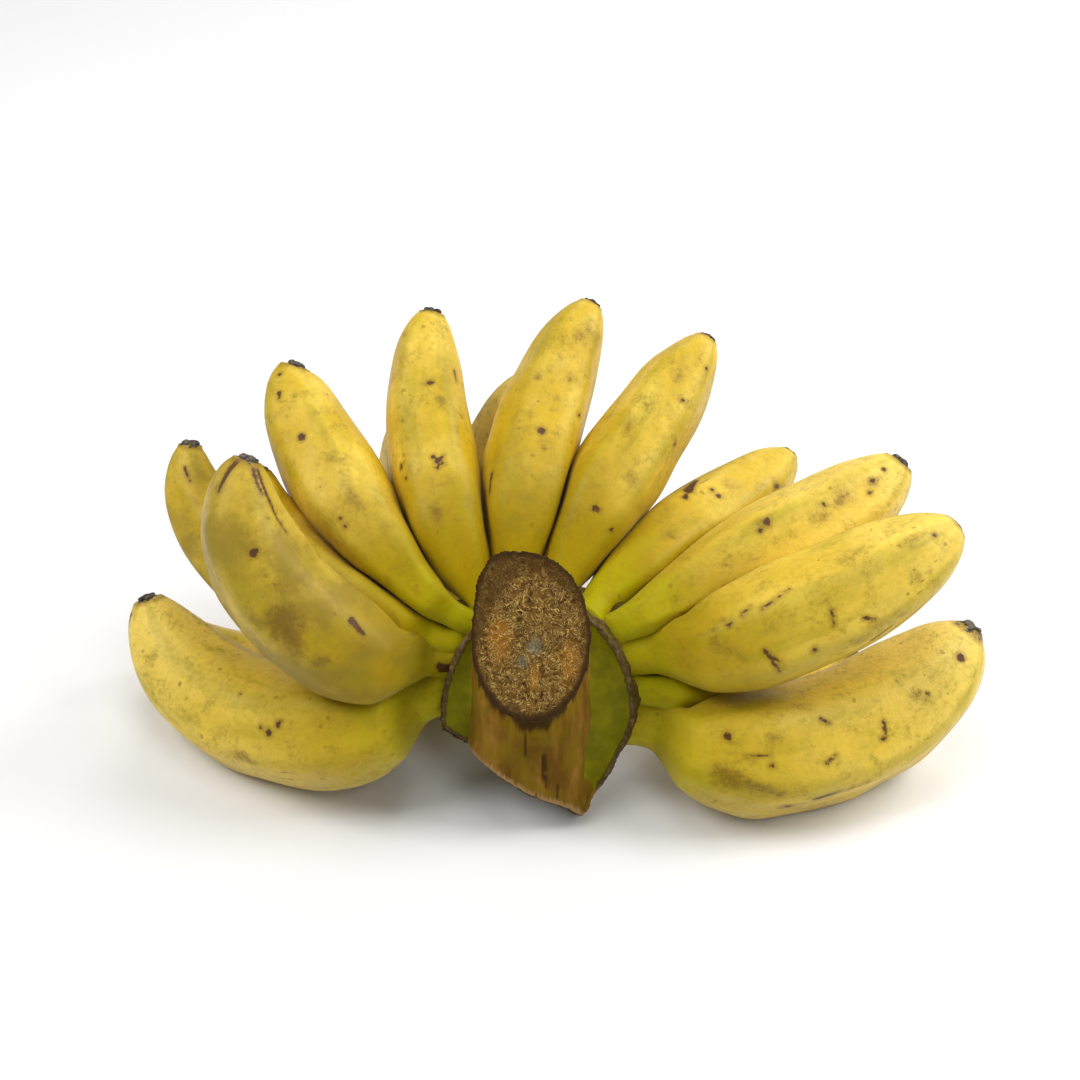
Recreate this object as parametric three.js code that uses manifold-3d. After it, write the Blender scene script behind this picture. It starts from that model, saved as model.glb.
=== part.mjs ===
// A whole hand of small wild bananas, lying on its back fingers with the cut stalk towards the front.
// Units are millimetres, +Z is up and -Y is the front. Places are given from the ground under the stalk,
// and at the end the whole hand is moved so that the origin is the bottom centre of its bounding box.
import * as THREE from "three";
import { mergeVertices } from "three/addons/utils/BufferGeometryUtils.js";
import Module from "manifold-3d";

// Stalk: the short piece of bunch stem, sawn obliquely above and below. A slope is the rise along X or Y.
const STALK_RADIUS = 16.8;
const STALK_Y = -3;
const STALK_TOP = 63;
const STALK_TOP_SLOPE = 0.98;
const STALK_FOOT = 10.5;
const STALK_FOOT_SLOPE = [-0.68, -0.35];
const STALK_SIDES = 32;

// Cushion: the swollen crown behind the stalk, on whose back the fingers sit. It is cut off in front by
// the plane of the two wings beside the stalk.
const CUSHION_CENTRE = new THREE.Vector3(2, -2, 30);
const CUSHION_HALF = new THREE.Vector3(28, 26, 40);
const CUSHION_BELOW = 32;
const CUSHION_SEGMENTS = [32, 18];
const WING_Y = -13;
const WING_TILT = 20.5;

// Fingers: a ring of points at each of these shares of the centre line (0 at the foot, 1 at the tip). The
// neck widens from NECK_END on and the rounding off begins at DOME_START. SEAM is the space kept between
// grown-together pieces, and NEAR how close fingers come before they are tested for pressing on each other.
const SEAM = 0.4;
const SIDES = 16;
const RINGS = [0.03, 0.065, 0.1, 0.14, 0.18, 0.225, 0.28, 0.35, 0.43, 0.51, 0.59,
  0.67, 0.745, 0.81, 0.865, 0.905, 0.94, 0.966];
const NECK_END = 0.06;
const NECK_REACH = 26;
const SWELL_POWER = 0.6;
const DOME_START = 0.35;
const DOME_POWER = 0.5;
const BLOSSOM_RADIUS = 3.4;
const BLOSSOM_START = 0.978;
const RIDGES = 5;
const RIDGE_HEIGHT = 0.018;
const BEADS = 60;
const NEAR = 2;
const PRESS_STEPS = 9;

// Each finger: its seat on the cushion (angle round it from the back, to the right, and height), how its
// neck leaves (heading from the back, rise), where the middle of its centre line and its tip are, and its
// girth, its neck's width, the share of its length at which it has swollen to the full girth, and how blunt
// its end is. Fingers a1 to a9 are the upper row and b1 to b7 the lower one, from left to right.
const FINGERS = {
  a1: {
    seat: [-98, 49.5], leave: [-95, -5], belly: [-65, 2, 66.5],
    tip: [-78, 23, 107], width: [30, 10.5, 0.34, 2.8],
  },
  a2: {
    seat: [-72, 50], leave: [-70, 5], belly: [-63, 27, 56],
    tip: [-80, 50, 84], width: [28, 8, 0.42, 2.8],
  },
  a3: {
    seat: [-58, 55], leave: [-75, 20], belly: [-55.8, 47.6, 75.5],
    tip: [-70.7, 84, 98], width: [28, 7.4, 0.6, 4],
  },
  a4: {
    seat: [-37, 55], leave: [-42, 30], belly: [-29, 57, 77.5],
    tip: [-30, 100, 107], width: [27, 7.2, 0.36, 3],
  },
  a5: {
    seat: [-15, 56], leave: [-12, 30], belly: [0, 61, 79.5],
    tip: [19, 104, 107], width: [27.5, 7.4, 0.38, 2.9],
  },
  a6: {
    seat: [11, 56], leave: [13, 22], belly: [27, 57.6, 77],
    tip: [54, 93, 101.5], width: [26.5, 9.5, 0.4, 2.9],
  },
  a7: {
    seat: [37, 55], leave: [30, 10], belly: [51, 56, 57.5],
    tip: [81, 89, 61], width: [25, 9.5, 0.42, 3.2],
  },
  a8: {
    seat: [60, 52.5], leave: [50, 10], belly: [69, 36, 61.5],
    tip: [110.5, 58, 81], width: [30, 9, 0.56, 3.6],
  },
  a9: {
    seat: [83, 46.5], leave: [85, 5], belly: [76, 8, 61],
    tip: [122, 25, 81], width: [33, 10.5, 0.36, 3.2],
  },
  b1: {
    seat: [-99, 37.2], leave: [-100, -15], belly: [-75.5, 9.5, 17.5],
    tip: [-118, 46, 38], width: [34.6, 11.4, 0.28, 2.9],
  },
  b2: {
    seat: [-60, 25], leave: [-64, -8], belly: [-72, 36, 11.5],
    tip: [-122, 58, 22], width: [23, 8, 0.42, 2.8],
  },
  b3: {
    seat: [-62, 38], leave: [-72, 8], belly: [-75, 38, 44.5],
    tip: [-104, 74, 76], width: [26, 8, 0.42, 2.8],
  },
  b4: {
    seat: [-38, 32], leave: [-32, -5], belly: [-29, 61, 15],
    tip: [-41, 93, 71], width: [28, 8, 0.4, 2.8],
  },
  b5: {
    seat: [-8, 32], leave: [-4, -5], belly: [-12, 64, 18],
    tip: [1, 97, 85], width: [33, 8, 0.5, 4],
  },
  b6: {
    seat: [82, 36], leave: [80, -5], belly: [70, 29, 15],
    tip: [100, 48, 16], width: [24, 8, 0.42, 2.8],
  },
  b7: {
    seat: [100, 27.6], leave: [104, -5], belly: [78, -0.7, 18.3],
    tip: [131, 27, 41], width: [36.6, 13.2, 0.29, 4],
  },
};

const wasm = await Module();
wasm.setup();

const DEG = Math.PI / 180;

function solid(geometry) {
  const plain = geometry.clone();
  plain.deleteAttribute("normal");
  plain.deleteAttribute("uv");
  const merged = mergeVertices(plain, 1e-4);
  const vertProperties = new Float32Array(merged.attributes.position.array);
  const triVerts = new Uint32Array(merged.index.array);
  return new wasm.Manifold(new wasm.Mesh({ numProp: 3, vertProperties, triVerts }));
}

function geometryOf(manifold) {
  const { vertProperties, triVerts, numProp } = manifold.getMesh();
  const positions = new Float32Array((vertProperties.length / numProp) * 3);
  for (let i = 0; i < positions.length / 3; i++)
    for (let k = 0; k < 3; k++) positions[3 * i + k] = vertProperties[numProp * i + k];
  const geometry = new THREE.BufferGeometry();
  geometry.setAttribute("position", new THREE.BufferAttribute(positions, 3));
  geometry.setIndex(Array.from(triVerts));
  geometry.computeVertexNormals();
  return geometry;
}

// A big block whose face passes through the point, with everything on the far side of the normal.
function halfSpace(point, normal) {
  const size = 400;
  const block = new THREE.BoxGeometry(size, size, size).translate(0, 0, size / 2);
  const turn = new THREE.Quaternion().setFromUnitVectors(new THREE.Vector3(0, 0, 1), normal);
  return solid(block.applyQuaternion(turn).translate(point.x, point.y, point.z));
}

// The upward normal of a plane that rises by these slopes along X and Y.
function upNormal(slopeX, slopeY) {
  return new THREE.Vector3(-slopeX, -slopeY, 1).normalize();
}

// The cushion is an egg: taller above its widest level than below it.
function cushionHalf(z, grown) {
  const tall = z < CUSHION_CENTRE.z ? CUSHION_BELOW : CUSHION_HALF.z;
  return new THREE.Vector3(CUSHION_HALF.x, CUSHION_HALF.y, tall).addScalar(grown);
}

function makeCushion() {
  const egg = new THREE.SphereGeometry(1, ...CUSHION_SEGMENTS).rotateX(90 * DEG);
  const points = egg.attributes.position;
  for (let i = 0; i < points.count; i++) {
    const point = new THREE.Vector3().fromBufferAttribute(points, i);
    point.multiply(cushionHalf(CUSHION_CENTRE.z + point.z, 0)).add(CUSHION_CENTRE);
    points.setXYZ(i, ...point);
  }
  const wingNormal = new THREE.Vector3(0, -Math.cos(WING_TILT * DEG), Math.sin(WING_TILT * DEG));
  return solid(egg).subtract(halfSpace(new THREE.Vector3(0, WING_Y, 0), wingNormal));
}

function makeCrown() {
  const height = 160;
  const stalkShape = new THREE.CylinderGeometry(STALK_RADIUS, STALK_RADIUS, height, STALK_SIDES);
  const stalk = solid(stalkShape.rotateX(90 * DEG).translate(0, STALK_Y, 0));
  const above = halfSpace(new THREE.Vector3(0, STALK_Y, STALK_TOP), upNormal(0, STALK_TOP_SLOPE));
  const footPoint = new THREE.Vector3(0, STALK_Y, STALK_FOOT);
  const below = halfSpace(footPoint, upNormal(...STALK_FOOT_SLOPE).negate());
  const ground = halfSpace(new THREE.Vector3(0, 0, 0), new THREE.Vector3(0, 0, -1));
  return geometryOf(stalk.subtract(above).add(makeCushion()).subtract(below).subtract(ground));
}

function smooth(from, to, x) {
  return THREE.MathUtils.smoothstep(x, from, to);
}

// The direction at an angle from the back, to the right, and with a rise.
function heading(azimuth, rise) {
  const flat = Math.cos(rise * DEG);
  const x = flat * Math.sin(azimuth * DEG);
  const y = flat * Math.cos(azimuth * DEG);
  return new THREE.Vector3(x, y, Math.sin(rise * DEG));
}

// The point on the cushion at an angle from the back and a height, grown by the seam.
function seatPoint([angle, z]) {
  const half = cushionHalf(z, SEAM);
  const level = Math.sqrt(1 - ((z - CUSHION_CENTRE.z) / half.z) ** 2);
  const x = half.x * level * Math.sin(angle * DEG);
  const y = half.y * level * Math.cos(angle * DEG);
  return new THREE.Vector3(CUSHION_CENTRE.x + x, CUSHION_CENTRE.y + y, z);
}

// A cubic curve that leaves the cushion along the neck and passes the belly half way.
function centreLine({ seat, leave, belly, tip }) {
  const foot = seatPoint(seat);
  const end = new THREE.Vector3(...tip);
  const neck = foot.clone().addScaledVector(heading(...leave), NECK_REACH);
  const far = new THREE.Vector3(...belly).multiplyScalar(8);
  far.sub(foot).sub(end).addScaledVector(neck, -3).divideScalar(3);
  return new THREE.CubicBezierCurve3(foot, neck, far, end);
}

// A finger swells from its neck to its full girth and rounds off to the blossom end.
function radiusAt({ width: [girth, neckWidth, full, bluntness] }, t) {
  const neck = neckWidth / 2;
  const swollen = neck + (girth / 2 - neck) * smooth(NECK_END, full, t) ** SWELL_POWER;
  const roundedOff = Math.max(0, (t - DOME_START) / (1 - DOME_START)) ** bluntness;
  const domed = (1 - roundedOff) ** DOME_POWER;
  return Math.max(swollen * domed, Math.min(BLOSSOM_RADIUS, swollen));
}

// Where the line from a point along a direction meets the cushion grown by the seam.
function ontoCushion(point, along) {
  const half = cushionHalf(point.z, SEAM);
  const p = point.clone().sub(CUSHION_CENTRE).divide(half);
  const d = along.clone().divide(half);
  const a = d.lengthSq();
  const b = p.dot(d);
  const reach = b * b - a * (p.lengthSq() - 1);
  const t = (-b - Math.sqrt(Math.max(0, reach))) / a;
  return point.clone().addScaledVector(along, t);
}

function ring(centre, along, radius) {
  const side = new THREE.Vector3().crossVectors(along, new THREE.Vector3(0, 0, 1)).normalize();
  const top = new THREE.Vector3().crossVectors(side, along);
  return Array.from({ length: SIDES }, (_, i) => {
    const angle = (2 * Math.PI * i) / SIDES;
    const r = radius * (1 + RIDGE_HEIGHT * Math.cos(RIDGES * angle));
    const point = centre.clone().addScaledVector(top, r * Math.cos(angle));
    return point.addScaledVector(side, r * Math.sin(angle));
  });
}

// Round points strung along the centre line, close enough together to stand for the whole finger.
function beads(finger) {
  const line = centreLine(finger);
  return Array.from({ length: BEADS + 1 }, (_, i) => {
    const t = i / BEADS;
    return { centre: line.getPointAt(t), radius: radiusAt(finger, t) };
  });
}

function clearance(point, string) {
  return Math.min(...string.map(({ centre, radius }) => point.distanceTo(centre) - radius));
}

function gap(own, other) {
  return Math.min(...own.map(({ centre, radius }) => clearance(centre, other) - radius));
}

// Fingers that grew against each other are pressed flat where they meet, with the seam between them.
function pressed(point, centre, own, neighbours) {
  const isFree = (p) => neighbours.every((other) => clearance(p, other) - clearance(p, own) > SEAM);
  if (isFree(point)) return point;
  let [inside, outside] = [0, 1];
  for (let i = 0; i < PRESS_STEPS; i++) {
    const middle = (inside + outside) / 2;
    if (isFree(centre.clone().lerp(point, middle))) inside = middle;
    else outside = middle;
  }
  return centre.clone().lerp(point, inside);
}

function onGround(point) {
  return point.setZ(Math.max(point.z, 0));
}

function fingerRings(finger, own, neighbours) {
  const line = centreLine(finger);
  const shares = [...RINGS, BLOSSOM_START, 1];
  const rings = shares.map((t) => {
    const centre = line.getPointAt(t);
    const points = ring(centre, line.getTangentAt(t), radiusAt(finger, t));
    return points.map((point) => onGround(pressed(point, centre, own, neighbours)));
  });
  const back = line.getTangentAt(0).negate();
  rings.unshift(rings[0].map((point) => ontoCushion(point, back)));
  return { rings, foot: ontoCushion(line.getPointAt(RINGS[0]), back), tip: line.getPointAt(1) };
}

function makeFinger(finger, own, neighbours) {
  const { rings, foot, tip } = fingerRings(finger, own, neighbours);
  const points = [foot, ...rings.flat(), tip];
  const index = [];
  const at = (row, i) => 1 + row * SIDES + (i % SIDES);
  for (let i = 0; i < SIDES; i++) {
    index.push(0, at(0, i + 1), at(0, i));
    index.push(points.length - 1, at(rings.length - 1, i), at(rings.length - 1, i + 1));
    for (let row = 0; row < rings.length - 1; row++) {
      index.push(at(row, i), at(row, i + 1), at(row + 1, i));
      index.push(at(row, i + 1), at(row + 1, i + 1), at(row + 1, i));
    }
  }
  const geometry = new THREE.BufferGeometry().setFromPoints(points);
  geometry.setIndex(index);
  geometry.computeVertexNormals();
  return geometry;
}

const PEEL = new THREE.MeshStandardMaterial({ color: 0xc9ad3c, roughness: 0.5, metalness: 0 });
const CROWN = new THREE.MeshStandardMaterial({ color: 0x7d5f31, roughness: 0.85, metalness: 0 });

function named(name, geometry, material) {
  const mesh = new THREE.Mesh(geometry, material);
  mesh.name = name;
  return mesh;
}

const hand = new THREE.Group();
hand.add(named("crown", makeCrown(), CROWN));
const strings = new Map(Object.entries(FINGERS).map(([key, finger]) => [key, beads(finger)]));
for (const [key, finger] of Object.entries(FINGERS)) {
  const own = strings.get(key);
  const neighbours = [...strings.values()].filter((other) => other !== own && gap(own, other) < NEAR);
  hand.add(named(`finger_${key}`, makeFinger(finger, own, neighbours), PEEL));
}

const part = new THREE.Group();
part.add(hand);
const box = new THREE.Box3().setFromObject(hand);
const middle = box.getCenter(new THREE.Vector3());
hand.position.set(-middle.x, -middle.y, -box.min.z);

export default part;
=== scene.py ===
"""A whole hand of small wild bananas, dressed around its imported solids: peel, blossom ends and sawn stalk.

Everything is in metres, in the frame of the solids: +Z is up and -Y is the front, where the cut stalk is.
Each banana is rebuilt smooth from the rings of its own solid, and the crown from a fine remesh of its solid.
"""

import math

import bmesh
import bpy
import numpy as np
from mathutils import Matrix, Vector, noise
from mathutils.bvhtree import BVHTree


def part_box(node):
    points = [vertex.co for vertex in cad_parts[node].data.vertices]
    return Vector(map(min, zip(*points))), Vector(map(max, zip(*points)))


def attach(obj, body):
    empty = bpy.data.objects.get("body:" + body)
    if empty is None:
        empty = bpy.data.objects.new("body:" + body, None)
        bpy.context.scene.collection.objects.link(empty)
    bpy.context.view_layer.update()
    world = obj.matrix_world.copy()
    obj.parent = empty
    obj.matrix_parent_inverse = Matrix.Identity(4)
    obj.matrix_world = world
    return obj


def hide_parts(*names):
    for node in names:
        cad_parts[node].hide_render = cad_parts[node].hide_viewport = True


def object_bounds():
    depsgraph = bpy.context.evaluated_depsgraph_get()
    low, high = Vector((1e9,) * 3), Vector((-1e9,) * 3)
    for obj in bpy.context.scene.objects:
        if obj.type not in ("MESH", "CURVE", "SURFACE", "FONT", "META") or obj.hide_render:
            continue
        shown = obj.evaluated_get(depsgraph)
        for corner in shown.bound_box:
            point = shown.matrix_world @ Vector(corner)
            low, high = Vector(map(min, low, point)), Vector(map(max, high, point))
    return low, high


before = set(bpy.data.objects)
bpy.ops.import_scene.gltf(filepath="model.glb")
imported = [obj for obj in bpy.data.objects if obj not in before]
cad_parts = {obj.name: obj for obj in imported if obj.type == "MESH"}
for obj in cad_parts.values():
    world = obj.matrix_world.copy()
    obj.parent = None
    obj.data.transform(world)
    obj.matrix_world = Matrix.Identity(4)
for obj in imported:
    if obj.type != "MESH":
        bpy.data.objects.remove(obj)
cad_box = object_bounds()

MM = 0.001

# The camera looks from the front and above.
VIEW_ELEVATION = math.radians(38)
VIEW_DISTANCE = 0.62
VIEW_LENS = 71.2
AIM_FROM_CROWN = np.array([28.5, 49.8, 71.5]) * MM
TO_VIEWER = np.array([0, -math.cos(VIEW_ELEVATION), math.sin(VIEW_ELEVATION)])
TO_RIGHT = np.array([1, 0, 0])

# The bananas' solids have this many points to a ring.
SOLID_SIDES = 16

# The fine surface of a banana: the points round it and along it, how far its foot reaches into the crown,
# how narrow the foot's end is and how it flares, its ridges and its dents.
SIDES = 112
ROWS = 150
ROOT_DEPTH = 3.0 * MM
ROOT_END = 0.7
ROOT_FLARE = 0.22
ROOT_FLARE_SHARE = 0.03
RIDGE_HEIGHT = 0.085
RIDGE_SHARPNESS = 4.2
DENT_HEIGHT = 0.3 * MM
DENT_SIZE = 21 * MM

# The dried blossom end: its length, how far each ring is behind the tip and its radius, and how ragged it is.
CAP_LENGTH = 1.7 * MM
CAP_RINGS = np.array([(1.6, 3.2), (1.45, 2.85), (1.2, 2.7), (0.9, 2.75), (0.65, 2.6), (0.45, 2.2), (0.3, 1.6),
                      (0.35, 1.0), (0.5, 0.5)]) * MM
CAP_ROUGHNESS = {"b7": 1.5 * MM}
USUAL_CAP_ROUGHNESS = 0.4 * MM

# Over how long a stretch before and behind each place a banana's centre line and radii are evened out, so
# that its neck flows into its body. The first few millimetres of its foot are held.
NECK_EASING = {"a1": 12 * MM, "b1": 14 * MM, "a9": 17 * MM, "b7": 12 * MM, "b6": 10 * MM, "a8": 12 * MM,
               "a7": 8 * MM}
USUAL_NECK_EASING = 4 * MM
HELD_FOOT = 5 * MM

# The feet of the bananas are moved back, this far behind the plane of the wings. Along the neck that fades
# from the first to the second of two places.
BEHIND_WING = 2.8 * MM
FOOT_STRETCH = {"a9": (6 * MM, 23 * MM), "a1": (5 * MM, 21 * MM)}
USUAL_FOOT_STRETCH = (7 * MM, 16 * MM)

# The webs of flesh between the necks, dark with painted shade where they close the gaps: between which necks
# they are, how far along these they reach, the size of the balls that fill them out, and how far they are
# behind the wings, which fades between two places.
WEBS = ["a1 a2", "a2 a3", "a3 a4", "a4 a5", "a5 a6", "a6 a7", "a7 a8", "a8 a9", "a9 b6", "b6 b7", "b1 b2",
        "b2 b4", "b4 b5", "b5 b6", "b3 a3", "b3 b2"]
WEB_REACH = {"a5 a6": 14 * MM, "a6 a7": 12 * MM, "a7 a8": 15 * MM, "a8 a9": 18 * MM, "a9 b6": 16 * MM,
             "b6 b7": 14 * MM}
USUAL_WEB_REACH = 9 * MM
WEB_RADIUS = 2.9 * MM
WEB_DEPTH = 7.5 * MM
WEB_STRETCH = (9 * MM, 16 * MM)
WEB_STEPS = 7
WEB_SMOOTHING = 16

# Which way the sawn face, the foot of the stalk and the wings roughly face.
CUT_FACING = (0, -0.7, 0.7)
FOOT_FACING = (-0.6, -0.3, -0.74)
WING_FACING = (0, -0.94, 0.35)
# The crown's fine surface, and the heights and widths of what is on it.
CROWN_VOXEL = 0.6 * MM
CROWN_SMOOTHING = 5
SCAR_HEIGHT = 1.2 * MM
SCAR_WIDTH = 1.1 * MM
GROOVE_DEPTH = 0.7 * MM
# The groove lies this far outside the rim on the left and on the right, where a second ridge follows it.
GROOVE_PLACES = (2.9 * MM, 1.4 * MM)
SECOND_RIDGE_PLACE = 2.7 * MM
SECOND_RIDGE_HEIGHT = 1.5 * MM
# The torn lower corner is pulled out, and the rim above it tucked in.
TORN_REACH = np.array([0.8, -3.4, -0.3]) * MM
TORN_SIZE = 6 * MM
TUCK = 3.0 * MM
LIP_RECESS = 1.5 * MM
LIP_HEIGHT = 0.5 * MM
CUT_HOLLOW = 0.4 * MM
CUT_ROUGHNESS = 0.4 * MM
FOOT_ROUGHNESS = 0.3 * MM
FIBRE_HEIGHT = 0.22 * MM
# The pattern of the bark is this many times finer round the stalk than along it.
BARK_SQUEEZE = 12
SLIT_DEPTH = 0.6 * MM
WING_HOLLOW = 0.9 * MM
COLLAR_HEIGHT = 1.2 * MM
COLLAR_REACH = 4.0 * MM
# The lip of the sawn face has a corner at this angle from the right upwards, and the foot of the stalk flares
# at this angle from the front to the right, both in degrees.
CORNER_TURN = 126
CORNER_REACH = 3.6 * MM
FLARE_TURN = -72
FLARE_REACH = 2.4 * MM

# Oval patches on the sawn face: middle and half size, to the right in half widths of the face and upwards in
# half heights of it.
ORANGE_PATCHES = [((-0.54, -0.03), (0.26, 0.38)), ((0.65, -0.31), (0.26, 0.32)), ((0.06, -0.5), (0.14, 0.2))]
MOULD_PATCHES = [((0.04, -0.12), (0.2, 0.17)), ((-0.15, -0.3), (0.12, 0.12))]
# Dark slits in the stalk's skin: the angle in degrees from the front to the right, the lowest and the
# highest place, and the half width.
SLITS = [(13, 24 * MM, 30.5 * MM, 0.8 * MM), (15, 20.5 * MM, 23 * MM, 0.5 * MM),
         (-6, 33 * MM, 40 * MM, 0.3 * MM), (27, 14 * MM, 19 * MM, 0.3 * MM), (5, 12 * MM, 17 * MM, 0.3 * MM)]


def unit(vector):
    """The vector, or each of some vectors, at length 1."""
    return vector / np.linalg.norm(vector, axis=-1, keepdims=True)


def smooth(low, high, x):
    """0 below low and 1 above high, with a soft change between them. It falls where high is the lower one."""
    t = np.clip((x - low) / (high - low), 0, 1)
    return t * t * (3 - 2 * t)


def waves(points, size, seed):
    """A smooth random field between about -1 and 1, made of waves of about this size."""
    chance = np.random.default_rng(seed)
    total = np.zeros(len(points))
    for _ in range(9):
        direction = unit(chance.normal(size=3))
        length = size * chance.uniform(0.7, 1.6)
        total += np.sin(points @ direction * (2 * math.pi / length) + chance.uniform(0, 2 * math.pi))
    return total / 3


def grain(points, size):
    """Rougher random values between about -1 and 1, with finer detail inside the given size."""
    return np.array([noise.fractal(Vector(p), 1.0, 2.0, 3) for p in points / size])


def spline(at, values, wanted):
    """Values given at rising places, read off at the wanted places of a smooth curve through all of them."""
    slopes = np.gradient(values, at, axis=0)
    k = np.clip(np.searchsorted(at, wanted) - 1, 0, len(at) - 2)
    step = at[k + 1] - at[k]
    t = (wanted - at[k]) / step
    shape = (-1,) + (1,) * (values.ndim - 1)
    step, t = step.reshape(shape), t.reshape(shape)
    ease = t * t * (3 - 2 * t)
    leave = step * t * (1 - t) ** 2 * slopes[k]
    arrive = step * t * t * (t - 1) * slopes[k + 1]
    return values[k] * (1 - ease) + values[k + 1] * ease + leave + arrive


# ---- reading the solids


def welded(node):
    """The points and the triangles of a solid, with the points that share a place joined."""
    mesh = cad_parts[node].data
    corners = np.array([v.co for v in mesh.vertices])
    points, index = np.unique(np.round(corners, 6), axis=0, return_inverse=True)
    return points, index.reshape(-1)[np.array([p.vertices[:] for p in mesh.polygons])]


def ring_numbers(points, triangles, start_near):
    """How many steps each point is away from the pole of the banana that lies nearer to the given place."""
    near = [set() for _ in points]
    for triangle in triangles:
        for corner in triangle:
            near[corner].update(triangle)
    poles = [i for i, found in enumerate(near) if len(found) == SOLID_SIDES + 1]
    pole = min(poles, key=lambda i: np.linalg.norm(points[i] - start_near))
    steps = np.full(len(points), -1)
    steps[pole] = 0
    edge = [pole]
    while edge:
        reached = {j for i in edge for j in near[i] if steps[j] < 0}
        steps[list(reached)] = steps[edge[0]] + 1
        edge = list(reached)
    return steps


def ring_centre(ring):
    """Where the lines between opposite points of a ring meet, which holds for a ring pressed flat too."""
    along = unit(ring[: SOLID_SIDES // 2] - ring[SOLID_SIDES // 2 :])
    across = np.eye(3) - along[:, :, None] * along[:, None, :]
    return np.linalg.solve(across.sum(0), (across @ ring[: SOLID_SIDES // 2, :, None]).sum(0)[:, 0])


def around(points, centre, side, top):
    """The angles of points round a centre, from the top towards the side."""
    away = points - centre
    return np.arctan2(away @ side, away @ top)


class Rings:
    """The rings of a banana's solid: their centres, their places along it, and their radii at even angles.

    The angles start at a direction that is carried along the banana without twisting. It faces the viewer at
    the middle of the banana.
    """

    def __init__(self, node, crown_centre):
        points, triangles = welded(node)
        steps = ring_numbers(points, triangles, crown_centre)
        rings = [points[steps == k] for k in range(1, steps.max())]
        self.centres = []
        ordered = []
        for ring in rings:
            rough = ring.mean(0)
            normal = np.linalg.svd(ring - rough)[2][2]
            side = unit(np.cross(normal, [0.31, 0.52, 0.8]))
            turn = np.argsort(around(ring, rough, side, np.cross(side, normal)))
            ordered.append(ring[turn])
            self.centres.append(ring_centre(ring[turn]))
        self.centres = np.array(self.centres)
        steps_along = np.linalg.norm(np.diff(self.centres, axis=0), axis=1)
        self.places = np.concatenate([[0], np.cumsum(steps_along)])
        self.length = self.places[-1]
        self.carry_frames()
        self.radii = np.array([self.even_radii(ring, k) for k, ring in enumerate(ordered)])

    def carry_frames(self):
        tangents = unit(np.gradient(self.centres, self.places, axis=0))
        count = len(tangents)
        middle = count // 2
        tops = np.zeros((count, 3))
        tops[middle] = TO_VIEWER
        for k in [middle, *range(middle + 1, count), *range(middle - 1, -1, -1)]:
            source = k - int(np.sign(k - middle))
            tops[k] = unit(tops[source] - tangents[k] * (tops[source] @ tangents[k]))
        self.tangents, self.tops = tangents, tops

    def even_radii(self, ring, k):
        centre, top = self.centres[k], self.tops[k]
        side = np.cross(self.tangents[k], top)
        angles = around(ring, centre, side, top)
        order = np.argsort(angles)
        radii = np.linalg.norm(ring - centre, axis=1)[order]
        angles = angles[order]
        lap = 2 * math.pi
        lapped = np.concatenate([angles - lap, angles, angles + lap])
        return spline(lapped, np.tile(radii, 3), np.arange(SIDES) * lap / SIDES)


# ---- the bananas

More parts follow.
